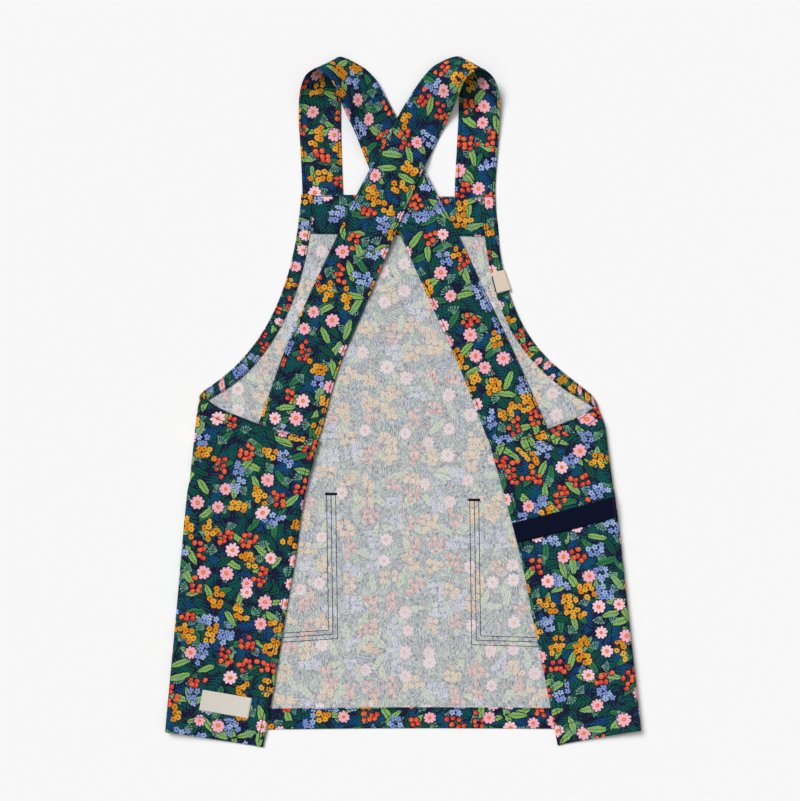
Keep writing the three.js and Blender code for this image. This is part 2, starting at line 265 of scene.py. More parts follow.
def wing_point(side, across, along):
    """A point of a wing, across from the fold to the free edge and along from the top to the hem."""
    along = np.asarray(along, float)
    start = fold_point(side, 1, along)[..., :2]
    flat = start + (smooth_through(side.wing_edge, along) - start) * across
    flat[..., 1] -= side.wing_top_sag * 4 * across * (1 - across) * (1 - along)
    drop = WING_DROP * ease(across, 0.0, DROP_REACH) * (1 - across)
    flat[..., 1] -= drop * (1 - ease(along, 0.0, SLANT_ENDS))
    x, y = flat[..., 0], flat[..., 1]
    rest = WING_OVER_STRAP + (WING_REST - WING_OVER_STRAP) * ease(along, *STRAP_LIFTS_WING)
    rest = rest - HEM_SINK * ease(-y, *HEM_SINKS_BETWEEN)
    wave = np.sin(flat @ LONG_WAVE + side.inward) + SHORT_WAVE_SHARE * np.sin(flat @ SHORT_WAVE)
    ripple = WING_RIPPLE * wave * ease(across, 0.0, RIPPLE_FADES_IN)
    return point(x, y, rest + (fold_loft(along) - rest) * (1 - across) ** 2 + ripple)


def front_top(column):
    """The top edge of the front: up one armhole, along the bib and down the other armhole."""
    if column < ARMHOLE_COLUMNS:
        return armhole(LEFT, 1 - column / ARMHOLE_COLUMNS)
    rest = column - ARMHOLE_COLUMNS
    if rest <= BIB_COLUMNS:
        return between(LEFT.bib_corner, RIGHT.bib_corner, rest / BIB_COLUMNS)
    return armhole(RIGHT, (rest - BIB_COLUMNS) / ARMHOLE_COLUMNS)


def front_bow(side, along):
    """How far the front's edge at a side fold stands from the straight line between its ends."""
    first, last = fold_point(side, 0, 0.0)[:2], fold_point(side, 0, 1.0)[:2]
    return fold_point(side, 0, along)[..., :2] - between(first, last, along)


def front_point(column, along):
    share = column / FRONT_COLUMNS
    foot = between(fold_point(LEFT, 0, 1.0), fold_point(RIGHT, 0, 1.0), share)[:2]
    foot[1] += HEM_ARCH * np.sin(np.pi * share)
    flat = between(front_top(column), foot, along)
    flat = flat + front_bow(LEFT, along) * (1 - share) + front_bow(RIGHT, along) * share
    x, y = flat[..., 0], flat[..., 1]
    return point(x, y, front_height(x, y))


def cloth_part(column):
    """Which side a column of the cut cloth is nearest to, and how many columns it is from that edge."""
    half = CLOTH_COLUMNS / 2
    return (LEFT if column < half else RIGHT), half - abs(column - half)


def cloth_point(column, along):
    """The whole cut cloth: left wing, left fold, front, right fold and right wing."""
    side, from_edge = cloth_part(column)
    if from_edge <= WING_COLUMNS:
        return wing_point(side, 1 - from_edge / WING_COLUMNS, along)
    if from_edge < WING_COLUMNS + FOLD_COLUMNS:
        return fold_point(side, 1 - (from_edge - WING_COLUMNS) / FOLD_COLUMNS, along)
    return front_point(column - WING_COLUMNS - FOLD_COLUMNS, along)


def wing_column(side, across):
    """The column of a place on a wing, or with across below 0 on the upper half of its fold."""
    columns = FOLD_COLUMNS if across < 0 else WING_COLUMNS
    from_edge = WING_COLUMNS - across * columns
    return from_edge if side is LEFT else CLOTH_COLUMNS - from_edge


def cloth_normal(column, along):
    """The direction in which the printed face looks."""
    step = 1e-3
    span = cloth_point(min(column + step, CLOTH_COLUMNS), along)
    span = span - cloth_point(max(column - step, 0), along)
    fall = cloth_point(column, np.minimum(np.asarray(along) + step, 1))
    fall = fall - cloth_point(column, np.maximum(np.asarray(along) - step, 0))
    return unit(np.cross(span, fall))


def beside_cloth(column, along, offset):
    """A point beside the cloth: offset is outwards, towards the printed face."""
    offset = np.asarray(offset, float)[..., None]
    return cloth_point(column, along) + offset * cloth_normal(column, along)


def column_length(column):
    return np.linalg.norm(cloth_point(column, 1.0) - cloth_point(column, 0.0))


def cloth_cut(column, along):
    """The same place on the cloth as it was cut, with the wings opened out flat beside the front."""
    side, from_edge = cloth_part(column)
    spot = cloth_point(column, along)[..., :2]
    if from_edge >= WING_COLUMNS + FOLD_COLUMNS:
        return spot
    line = np.subtract(side.fold_bottom, side.fold_top)
    outward = unit(np.array([line[1], -line[0]])) * side.inward
    radius = fold_radius(side, along)[..., None]
    if from_edge > WING_COLUMNS:
        turn = 1 - (from_edge - WING_COLUMNS) / FOLD_COLUMNS
        spot[..., 0] = fold_point(side, 0, along)[..., 0]
        return spot + outward * np.pi * radius * turn
    depth = ((spot - fold_at(side, along)) @ outward)[..., None]
    return spot - outward * (2 * depth - (np.pi - 2) * radius)


def hem_rows(along):
    """How far down the cloth a row lies, how far round the turn at its edge, and how far up the hem."""
    row = np.asarray(along, float) * BODY_ROWS
    turn = np.clip((row - CLOTH_ROWS) / TURN_ROWS, 0, 1)
    rise = HEM_DEPTH * np.clip((row - CLOTH_ROWS - TURN_ROWS) / HEM_ROWS, 0, 1)
    return np.minimum(row / CLOTH_ROWS, 1), turn, rise


def body_place(across, along):
    column = across * CLOTH_COLUMNS
    fall, turn, rise = hem_rows(along)
    down = unit(cloth_point(column, 1.0) - cloth_point(column, NEAR_HEM))
    inside = LAYER / 2 * (1 - np.cos(np.pi * turn))
    beyond = LAYER / 2 * np.sin(np.pi * turn)
    spot = beside_cloth(column, fall - rise / column_length(column), -inside)
    return spot + down * beyond[..., None]


def body_cut(across, along):
    column = across * CLOTH_COLUMNS
    fall, turn, rise = hem_rows(along)
    down = unit(cloth_cut(column, 1.0) - cloth_cut(column, NEAR_HEM))
    past = np.pi / 2 * LAYER * turn + rise
    return cloth_cut(column, fall) + down * past[..., None]


def lay_cloth(columns, rows, place, cut, flip=False):
    """A grid moved onto a draped surface, column by column, with its UV map on the flat cut."""
    bm = bmesh.new()
    bmesh.ops.create_grid(bm, x_segments=columns, y_segments=rows, size=0.5)
    strips = {}
    for vert in bm.verts:
        strips.setdefault(round((vert.co.x + 0.5) * columns), []).append(vert)
    flat_spots = {}
    for column, verts in strips.items():
        along = np.array([0.5 - vert.co.y for vert in verts])
        spots = place(column / columns, along)
        cuts = cut(column / columns, along)
        for vert, spot, flat_spot in zip(verts, spots, cuts):
            vert.co = spot
            flat_spots[vert] = flat_spot
    uv = bm.loops.layers.uv.new("cut")
    for face in bm.faces:
        for loop in face.loops:
            loop[uv].uv = flat_spots[loop.vert]
    if flip:
        bmesh.ops.reverse_faces(bm, faces=bm.faces)
    return bm


def straight_cut(width, height, across, along):
    """A place on a rectangle of flat cloth."""
    return np.stack([width * across + 0 * along, height * along], axis=-1)


def ride_with_smock(name, mesh, materials):
    """A finished mesh as an object that rides with the smock."""
    for material in materials:
        mesh.materials.append(material)
    mesh.shade_smooth()
    piece = bpy.data.objects.new(name, mesh)
    bpy.context.scene.collection.objects.link(piece)
    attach(piece, "root")
    return piece


def add_piece(name, bm, materials):
    mesh = bpy.data.meshes.new(name)
    bm.to_mesh(mesh)
    bm.free()
    return ride_with_smock(name, mesh, materials)


def give_wall(piece, thickness, two_faced=False):
    """Cloth thickness, half to each side. A two-faced cloth has its second material on the back."""
    wall = piece.modifiers.new("wall", "SOLIDIFY")
    wall.thickness = thickness
    wall.offset = 0
    if two_faced:
        wall.material_offset = 1
    return wall


class Field:
    """A value that varies over a surface: it wraps a node's socket, and arithmetic adds Math nodes."""

    def __init__(self, tree, socket):
        self.tree = tree
        self.socket = socket

    def node(self, kind, settings=None, inputs=None, output=0):
        made = self.tree.nodes.new(kind)
        for name, value in (settings or {}).items():
            setattr(made, name, value)
        for name, value in (inputs or {}).items():
            if isinstance(value, Field):
                self.tree.links.new(value.socket, made.inputs[name])
            else:
                made.inputs[name].default_value = value
        return Field(self.tree, made.outputs[output])

    def also(self, output):
        return Field(self.tree, self.socket.node.outputs[output])

    def feed(self, socket):
        self.tree.links.new(self.socket, socket)

    def math(self, operation, *values, clamp=False):
        settings = {"operation": operation, "use_clamp": clamp}
        return self.node("ShaderNodeMath", settings, dict(enumerate((self,) + values)))

    def __add__(self, other):
        return self.math("ADD", other)

    __radd__ = __add__

    def __sub__(self, other):
        return self.math("SUBTRACT", other)

    def __rsub__(self, other):
        return self.node("ShaderNodeMath", {"operation": "SUBTRACT"}, {0: other, 1: self})

    def __mul__(self, other):
        return self.math("MULTIPLY", other)

    __rmul__ = __mul__

    def __truediv__(self, other):
        return self.math("DIVIDE", other)

    def __pow__(self, other):
        return self.math("POWER", other)

    def __abs__(self):
        return self.math("ABSOLUTE")

    def __lt__(self, other):
        return self.math("LESS_THAN", other)

    def __gt__(self, other):
        return self.math("GREATER_THAN", other)

    def smaller(self, other):
        return self.math("MINIMUM", other)

    def larger(self, other):
        return self.math("MAXIMUM", other)

    def sine(self):
        return self.math("SINE")

    def zigzag(self, pitch):
        """The distance from the middle of the stripe that a place lies in, for stripes a pitch wide."""
        return abs(self.math("MULTIPLY", 1 / pitch).math("FRACT") - 0.5) * pitch

    def vector(self, operation, other, output=0):
        return self.node("ShaderNodeVectorMath", {"operation": operation}, {0: self, 1: other}, output)

    def scaled(self, factor):
        return self.node("ShaderNodeVectorMath", {"operation": "SCALE"}, {0: self, "Scale": factor})

    def length(self):
        return self.node("ShaderNodeVectorMath", {"operation": "LENGTH"}, {0: self}, "Value")

    def turned(self, angle):
        inputs = {"Vector": self, "Angle": angle}
        return self.node("ShaderNodeVectorRotate", {"rotation_type": "Z_AXIS"}, inputs)

    def parts(self):
        split = self.node("ShaderNodeSeparateXYZ", None, {0: self})
        return split, split.also(1), split.also(2)

    def noise(self, scale, detail=2.0, output="Fac"):
        inputs = {"Vector": self, "Scale": scale, "Detail": detail}
        return self.node("ShaderNodeTexNoise", {"noise_dimensions": "2D"}, inputs, output)

    def plain(self, color):
        """One colour all over."""
        made = self.node("ShaderNodeRGB")
        made.socket.default_value = color
        return made

    def mixed(self, other, share):
        """A colour, painted over with another one by a share."""
        return self.node("ShaderNodeMix", {"data_type": "RGBA"}, {0: share, 6: self, 7: other}, 2)

    def either(self, first, second):
        """The first colour where this is 0 and the second where it is 1."""
        return self.node("ShaderNodeMix", {"data_type": "RGBA"}, {0: self, 6: first, 7: second}, 2)


def paint(red, green, blue):
    """A colour from its sRGB numbers, as the linear light that a shader takes."""
    parts = [part / 255 for part in (red, green, blue)]
    return tuple(p / 12.92 if p <= 0.04045 else ((p + 0.055) / 1.055) ** 2.4 for p in parts) + (1.0,)


NAVY = paint(24, 22, 50)
PINK = paint(236, 174, 191)
BLUSH = paint(241, 196, 206)
CORAL = paint(226, 92, 54)
BRICK = paint(205, 62, 50)
AMBER = paint(214, 136, 24)
MUSTARD = paint(228, 166, 52)
RUST = paint(120, 52, 26)
PERIWINKLE = paint(128, 148, 208)
ICE = paint(156, 178, 222)
TEAL = paint(8, 78, 76)
BOTTLE = paint(8, 84, 64)
ROYAL = paint(12, 70, 118)
FERN_GREEN = paint(46, 124, 74)
LIME = paint(142, 190, 100)
SAGE = paint(112, 152, 132)

# The print's motifs, in millimetres on the cut cloth, with their turns in radians.
WOBBLE = SimpleNamespace(scale=0.14, reach=2.6)
HALO = 1.3
FAR_OUTSIDE = 15
Fern = namedtuple("Fern", "shift spacing length half_width leaflet tones")
FERNS = (
    Fern((3, 11, 0), 31, 50, 11, 5.2, (TEAL, BOTTLE)),
    Fern((71, 37, 0), 33, 46, 9, 4.6, (ROYAL, TEAL)),
)
FROND = SimpleNamespace(spread=0.7, swing=2.6, lean=0.4, power=0.6, fill=0.32, slant=0.95, rib=0.5)
Leaf = namedtuple("Leaf", "shift spacing length half_width tones")
LEAVES = (
    Leaf((13, 51, 0), 31, 29, 4.3, (FERN_GREEN, LIME)),
    Leaf((91, 7, 0), 33, 26, 3.8, (LIME, BOTTLE)),
)
FOLIAGE = SimpleNamespace(spread=0.8, swing=3.0, lean=0.6, power=0.75)
VEINS = SimpleNamespace(slant=1.2, pitch=3.6, gap=1.35, rib=0.5, share=0.75)
SEED = SimpleNamespace(shift=(5, 19, 0), spacing=3.6, size=0.35, growth=0.7, royal=0.35)
UMBEL = SimpleNamespace(
    shift=(41, 83, 0), spacing=28, spread=0.8, reach=9.5, line=0.42, bud=1.15, step=0.36, fan=0.95
)
BLOOM_SPACING = 27
BLOOM_SPREAD = 0.7
BUNCH = SimpleNamespace(spacing=7.4, spread=0.55, reach=10.2, squash=(0.5, 1.5))
ROSETTE = SimpleNamespace(size=3.9, half_petals=3.0, notch=0.35, power=0.6, heart=1.0, low=0.30, high=0.55)
STAR = SimpleNamespace(size=4.2, half_petals=2.5, notch=0.62, power=0.8, heart=0.9, low=0.77, high=0.93)
BERRY = SimpleNamespace(size=3.0, glint=0.75, glint_at=(-0.9, 0.9, 0), low=0.55, high=0.77)
DAISY = SimpleNamespace(
    size=7.4, growth=2.0, half_petals=4.5, notch=0.42, power=0.5, heart=0.3, ring=1.3, pink=0.6, high=0.30
)


def scatter(place, spacing, spread, shift=(0, 0, 0)):
    """Motifs strewn over the cloth: the way from the nearest one's middle, that middle and three chances."""
    moved = place.vector("ADD", shift)
    inputs = {"Vector": moved, "Scale": 1 / spacing, "Randomness": spread}
    middle = moved.node("ShaderNodeTexVoronoi", {"voronoi_dimensions": "2D"}, inputs, "Position")
    return moved.vector("SUBTRACT", middle), middle, middle.also("Color").parts()


def blade(local, length, half_width, power):
    """A lens-shaped leaf along x: how far along, how far off its rib, and how wide it is there."""
    x, y, _ = local.parts()
    share = x.math("MULTIPLY_ADD", 1 / length, 0.5)
    reach = (share * (1 - share) * 4).larger(0.0001) ** power * half_width
    return x, abs(y), reach


def petals(local, start, form, size):
    """How far inside a round flower with lobed petals a place lies."""
    x, y, _ = local.parts()
    angle = y.math("ARCTAN2", x) + start
    lobe = abs((angle * form.half_petals).math("COSINE")) ** form.power
    return (lobe * form.notch + (1 - form.notch)) * size - local.length()


def shown_where(chosen, depth):
    """How far inside a motif a place lies, or far outside it where the motif isn't chosen."""
    return depth.smaller(chosen * (2 * FAR_OUTSIDE) - FAR_OUTSIDE)


def strew_seeds(place, color, inside):
    local, _, (kind, swell, _) = scatter(place, SEED.spacing, 1.0, SEED.shift)
    seed = swell * SEED.growth + SEED.size - local.length()
    return color.mixed((kind > SEED.royal).either(ROYAL, TEAL), inside(seed))


def strew_ferns(place, color, inside):
    for fern in FERNS:
        local, _, (turn, kind, _) = scatter(place, fern.spacing, FROND.spread, fern.shift)
        local = local.turned(turn * FROND.swing - FROND.lean)
        x, off, reach = blade(local, fern.length, fern.half_width, FROND.power)
        share = off / reach
        leaflet = (1 - share * share) * (FROND.fill * fern.leaflet)
        leaflet = leaflet - (x - off * FROND.slant).zigzag(fern.leaflet)
        rib = (FROND.rib - off).smaller(reach - off)
        color = color.mixed((kind > 0.5).either(*fern.tones), inside(leaflet.larger(rib)))
    return color


def strew_leaves(place, color, inside):
    for leaf in LEAVES:
        local, _, (turn, kind, _) = scatter(place, leaf.spacing, FOLIAGE.spread, leaf.shift)
        local = local.turned(turn * FOLIAGE.swing - FOLIAGE.lean)
        x, off, reach = blade(local, leaf.length, leaf.half_width, FOLIAGE.power)
        veins = inside((x - off * VEINS.slant).zigzag(VEINS.pitch) - VEINS.gap)
        veins = veins.larger(inside(VEINS.rib - off))
        tone = (kind > 0.5).either(*leaf.tones).mixed(NAVY, veins * VEINS.share)
        color = color.mixed(NAVY, inside(reach - off + HALO))
        color = color.mixed(tone, inside(reach - off))
    return color


def strew_umbels(place, color, inside):
    local, _, (turn, _, _) = scatter(place, UMBEL.spacing, UMBEL.spread, UMBEL.shift)
    local = local.turned(turn * math.tau).vector("ADD", (UMBEL.reach / 2, 0, 0))
    x, y, _ = local.parts()
    ray = y.math("ARCTAN2", x)
    far = local.length()
    off = far * ((ray.math("MULTIPLY_ADD", 1 / UMBEL.step, 0.5).math("FRACT") - 0.5) * UMBEL.step)
    stalk = (UMBEL.line - abs(off)).smaller(UMBEL.reach - far)
    bud = UMBEL.bud - ((far - UMBEL.reach) ** 2 + off * off).math("SQRT")
    fan = (UMBEL.fan - abs(ray)) * UMBEL.reach
    return color.mixed(SAGE, inside(stalk.larger(bud).smaller(fan)))


def strew_bunches(place, color, inside):
    """Bunches of rosettes, berries or stars: small flowers whose middle is near that of a large bloom."""
    small, middle, (turn, _, _) = scatter(place, BUNCH.spacing, BUNCH.spread)
    from_bloom, _, (kind, lean, _) = scatter(middle, BLOOM_SPACING, BLOOM_SPREAD)
    x, y, _ = from_bloom.turned(lean * math.tau).parts()
    bunched = (x * x * BUNCH.squash[0] + y * y * BUNCH.squash[1]).math("SQRT") < BUNCH.reach
    start = turn * math.tau
    far = small.length()

    def only(depth, form):
        return shown_where(bunched * (kind > form.low) * (kind < form.high), depth)

    rosette = only(petals(small, start, ROSETTE, ROSETTE.size), ROSETTE)
    star = only(petals(small, start, STAR, STAR.size), STAR)
    berry = only(BERRY.size - far, BERRY)
    pale = turn > 0.5
    color = color.mixed(NAVY, inside(rosette.larger(star).larger(berry) + HALO))
    color = color.mixed(pale.either(AMBER, MUSTARD), inside(rosette))
    color = color.mixed(RUST, inside((ROSETTE.heart - far).smaller(rosette)))
    color = color.mixed(pale.either(CORAL, BRICK), inside(berry))
    glint = BERRY.glint - small.vector("SUBTRACT", BERRY.glint_at).length()
    color = color.mixed(MUSTARD, inside(glint.smaller(berry)))
    color = color.mixed(pale.either(PERIWINKLE, ICE), inside(star))
    return color.mixed(NAVY, inside((STAR.heart - far).smaller(star)))


def strew_daisies(place, color, inside):
    local, _, (kind, lean, swell) = scatter(place, BLOOM_SPACING, BLOOM_SPREAD)
    size = swell * DAISY.growth + DAISY.size
    daisy = shown_where(kind < DAISY.high, petals(local, lean * math.tau, DAISY, size))
    heart = (size * DAISY.heart - local.length()).smaller(daisy)
    color = color.mixed(NAVY, inside(daisy + HALO))
    color = color.mixed((lean > DAISY.pink).either(PINK, BLUSH), inside(daisy))
    color = color.mixed(CORAL, inside(heart))
    return color.mixed(MUSTARD, inside(heart - DAISY.ring))


def floral_print(place, edge):
    """Flowers, berries and leaves on navy, with edges that blur over a width of edge millimetres."""
    def inside(depth):
        """1 inside a motif and 0 outside it; depth is how far inside a place is."""
        return depth.math("MULTIPLY_ADD", 1 / edge, 0.5, clamp=True)

    wobble = place.noise(WOBBLE.scale, 1.0, "Color").vector("SUBTRACT", (0.5, 0.5, 0.5))
    place = place.vector("ADD", wobble.scaled(WOBBLE.reach))
    color = place.plain(NAVY)
    for strew in (strew_seeds, strew_ferns, strew_leaves, strew_umbels, strew_bunches, strew_daisies):
        color = strew(place, color, inside)
    return color


PRINT_EDGE = 0.35
WEAVE = SimpleNamespace(pitch=0.75, height=0.03, wear=0.06)
SLUB = SimpleNamespace(along=(0.22, 2.4, 1.0), across=(2.4, 0.22, 1.0), scale=0.55, height=0.09, wear=0.35)
IRONED = SimpleNamespace(length=38, height=0.9)
WORN = SimpleNamespace(tint=paint(120, 122, 128), least=0.03, most=0.15)
CANVAS_GLOSS = 0.08
PRINT_ROUGHNESS = 0.88


def canvas_weave(place):
    """A plain weave: the height of its threads, and uneven thick and thin stretches along them."""
    x, y, _ = place.scaled(math.pi / WEAVE.pitch).parts()
    threads = x.sine() * y.sine()
    slubs = place.vector("MULTIPLY", SLUB.along).noise(SLUB.scale)
    slubs = slubs + place.vector("MULTIPLY", SLUB.across).noise(SLUB.scale)
    return threads, slubs - 1.0


def start_material(name):
    """A new material: it, its shader and the place on the cut cloth in millimetres."""
    material = bpy.data.materials.new(name)
    material.use_nodes = True
    tree = material.node_tree
    shader = tree.nodes["Principled BSDF"]
    map_node = tree.nodes.new("ShaderNodeUVMap")
    map_node.uv_map = "cut"
    return material, shader, Field(tree, map_node.outputs["UV"]).scaled(1000.0)


def raise_surface(shader, height):
    """Bump from a height in millimetres."""
    inputs = {"Height": height, "Distance": 0.001, "Strength": 1.0}
    height.node("ShaderNodeBump", None, inputs, "Normal").feed(shader.inputs["Normal"])


def finish_canvas(shader, place, threads, slubs, roughness):
    """Matt cotton with threads, slubs and the soft unevenness of cloth that was ironed and then laid down."""
    (slubs * 0.1 + roughness).feed(shader.inputs["Roughness"])
    shader.inputs["Specular IOR Level"].default_value = CANVAS_GLOSS
    soft = place.noise(1 / IRONED.length, 1.5)
    raise_surface(shader, threads * WEAVE.height + slubs * SLUB.height + soft * IRONED.height)


def make_printed_canvas():
    material, shader, place = start_material("printed_canvas")
    threads, slubs = canvas_weave(place)
    color = floral_print(place, PRINT_EDGE)
    worn = (slubs * SLUB.wear + threads * WEAVE.wear + WORN.least).math("MAXIMUM", 0.0, clamp=True)
    color.mixed(WORN.tint, worn * WORN.most).feed(shader.inputs["Base Color"])
    finish_canvas(shader, place, threads, slubs, PRINT_ROUGHNESS)
    return material


PALE_COTTON = paint(230, 228, 228)
INK = SimpleNamespace(
    edge=1.1, gamma=0.6, faded=0.2, share=0.50, slub=0.3, thread=0.06, least=0.05, most=0.95
)
FLECK = SimpleNamespace(tuft=17, lean=2.4, shift=7.3, stretch=(1.45, 0.22, 1.0), scale=0.75, share=1.6)
WRONG_SIDE_ROUGHNESS = 0.9


def make_wrong_side():
    """The pale back of the canvas, where the print shows through blurred, faded and in fine streaks."""
    material, shader, place = start_material("canvas_wrong_side")
    threads, slubs = canvas_weave(place)
    tuft, middle, (lean, _, _) = scatter(place, FLECK.tuft, 1.0)
    blades = tuft.turned((lean - 0.5) * FLECK.lean).vector("ADD", middle.scaled(FLECK.shift))
    flecks = blades.vector("MULTIPLY", FLECK.stretch).noise(FLECK.scale, 2.0) - 0.5
    share = slubs * INK.slub + threads * INK.thread + flecks * FLECK.share + INK.share
    share = share.larger(INK.least).smaller(INK.most)
    ink = floral_print(place, INK.edge)
    ink = ink.node("ShaderNodeGamma", None, {"Color": ink, "Gamma": INK.gamma})
    ink = ink.mixed(ink.node("ShaderNodeRGBToBW", None, {"Color": ink}), INK.faded)
    ink = ink.vector("MULTIPLY", PALE_COTTON[:3])
    place.plain(PALE_COTTON).mixed(ink, share).feed(shader.inputs["Base Color"])
    finish_canvas(shader, place, threads, slubs, WRONG_SIDE_ROUGHNESS)
    return material


printed_canvas = make_printed_canvas()
wrong_side = make_wrong_side()

bm = lay_cloth(CLOTH_COLUMNS, BODY_ROWS, body_place, body_cut, flip=True)
body = add_piece("body_cloth", bm, (printed_canvas, wrong_side))
wall = give_wall(body, CANVAS * HEM_TIMES_THICKER, two_faced=True)
wall.thickness_vertex_group = 1 / HEM_TIMES_THICKER
doubled = body.vertex_groups.new(name="side_hems")
wall.vertex_group = doubled.name
for vert in body.data.vertices:
    x, y, z = vert.co
    for side in SIDES:
        edge_x, edge_y = np.array(side.wing_edge).T
        inset = (np.interp(-y, -edge_y, edge_x) - x) * side.inward
        if z > WING_REST / 2 and abs(inset) < SIDE_HEM:
            doubled.add([vert.index], 1.0, "REPLACE")
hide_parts("body")

# Stitching of the body
# Navy cotton thread, one row along the top of the hem and one along the turned edge of each wing.
# Each stitch is a short bead of thread pulled down into the cloth.
STITCH_PITCH = 0.0031
STITCH = (0.0046, 0.00100, 0.00070)
STITCH_PROUD = 0.00012
ROW_FROM_EDGE = 0.002
HEM_ROW = HEM_DEPTH - ROW_FROM_EDGE
SIDE_ROW = SIDE_HEM - ROW_FROM_EDGE
HEM_ROW_ON_FOLD = 0.7
TWIST = SimpleNamespace(scale=1.1, height=0.05, gloss=0.1)


def make_thread(name, color, shade):
    material, shader, _ = start_material(name)
    tree = material.node_tree
    place = Field(tree, tree.nodes.new("ShaderNodeTexCoord").outputs["Object"]).scaled(1000.0)
    inputs = {"Vector": place, "Scale": TWIST.scale}
    twist = place.node("ShaderNodeTexWave", {"bands_direction": "DIAGONAL"}, inputs, "Fac")
    twist.either(color, shade).feed(shader.inputs["Base Color"])
    (twist * 0.15 + 0.6).feed(shader.inputs["Roughness"])
    shader.inputs["Specular IOR Level"].default_value = TWIST.gloss
    raise_surface(shader, twist * TWIST.height)
    return material


navy_thread = make_thread("navy_thread", paint(14, 16, 38), paint(28, 32, 62))


def sew(name, seams, thread=navy_thread, slot="navy_tape", pitch=STITCH_PITCH, stitch=STITCH):
    """Rows of stitches as one mesh. A seam is its points and the directions that face away from the cloth."""
    bead = bmesh.new()
    bmesh.ops.create_icosphere(bead, subdivisions=1, radius=0.5)
    form = np.array([vert.co for vert in bead.verts]) * stitch
    faces = np.array([[vert.index for vert in face.verts] for face in bead.faces])
    bead.free()
    spots = []
    for points, normals in seams:
        points, normals = np.asarray(points), np.asarray(normals)
        steps = np.linalg.norm(np.diff(points, axis=0), axis=1)
        reach = np.concatenate([[0], np.cumsum(steps)])
        for middle in np.arange(pitch / 2, reach[-1], pitch):
            ends = (middle - pitch / 2, middle, min(middle + pitch / 2, reach[-1]))
            before, here, after = (
                np.array([np.interp(end, reach, points[:, axis]) for axis in range(3)]) for end in ends
            )
            normal = unit(np.array([np.interp(middle, reach, normals[:, axis]) for axis in range(3)]))
            along = unit(after - before)
            sideways = unit(np.cross(normal, along))
            spots.append(here + form @ np.array([along, sideways, np.cross(along, sideways)]))
    verts = np.concatenate(spots)
    all_faces = np.concatenate([faces + len(form) * i for i in range(len(spots))])
    mesh = bpy.data.meshes.new(name)
    mesh.from_pydata(verts.tolist(), [], all_faces.tolist())
    return ride_with_smock(name, mesh, (thread,))


def flat_seam(points):
    """A seam whose stitches all face straight up."""
    return points, np.tile((0, 0, 1), (len(points), 1))


def cloth_seam(spots, offset):
    """A seam on one face of the cloth, through spots that are each a column and how far along it."""
    points = [beside_cloth(column, along, offset) for column, along in spots]
    normals = [np.sign(offset) * cloth_normal(column, along) for column, along in spots]
    return points, normals


def hem_seam(columns, offset):
    return cloth_seam([(column, 1 - HEM_ROW / column_length(column)) for column in columns], offset)


def side_hem_spot(side, along):
    """The spot on the row of stitches along a wing's free edge."""
    width = np.linalg.norm(wing_point(side, 1.0, along) - wing_point(side, 0.0, along))
    return wing_column(side, 1 - SIDE_ROW / width), along


face = CANVAS / 2 + STITCH_PROUD
first_front = WING_COLUMNS + FOLD_COLUMNS
last_seen = WING_COLUMNS + FOLD_COLUMNS * HEM_ROW_ON_FOLD
seams = [
    hem_seam(np.linspace(0.5, last_seen, 60), face),
    hem_seam(np.linspace(CLOTH_COLUMNS - last_seen, CLOTH_COLUMNS - 0.5, 60), face),
    hem_seam(np.linspace(first_front, CLOTH_COLUMNS - first_front, 120), -(LAYER + face)),
]
thick_face = CANVAS * HEM_TIMES_THICKER / 2 + STITCH_PROUD
for side in SIDES:
    spots = [side_hem_spot(side, along) for along in np.linspace(0.01, 0.99, 90)]
    seams.append(cloth_seam(spots, thick_face))
body_stitching = sew("body_stitching", seams)

# Patch pockets
# Two patches of the printed canvas on the outer face of the front, which lies on the ground. Only
# their three rows of navy stitching and the bar tack at each mouth show, on the wrong side of the front.
POCKET_TO_FOLD = 0.014
POCKET_LEAN = 0.014
POCKET_ROWS = (0.0015, 0.0074, 0.0130)
POCKET_COLUMNS = 24
POCKET_HEIGHTS = 28
POCKET_ON_PRINT = (0.4, 0.8)
ROW_BELOW_MOUTH = 0.001
BAR_TACK = SimpleNamespace(length=0.0145, stitch=(0.0042, 0.0011, 0.0011), pitch=0.0006)


def pocket_inner(side, y):
    return side.pocket_inner + POCKET_LEAN * (side.pocket_mouth - y)


def pocket_floor(side, x):
    """The lower edge of a pocket, which drops a little towards the side."""
    return side.pocket_bottom - side.pocket_slope * (side.pocket_inner - x) * side.inward


def pocket_outer(side, y):
    along = (side.fold_top[1] - y) / (side.fold_top[1] - side.fold_bottom[1])
    return fold_at(side, along)[..., 0] + side.inward * POCKET_TO_FOLD


def inside_front(x, y):
    """A point on the wrong side of the front, where its stitches show."""
    return point(x, y, front_height(x, y) + face)


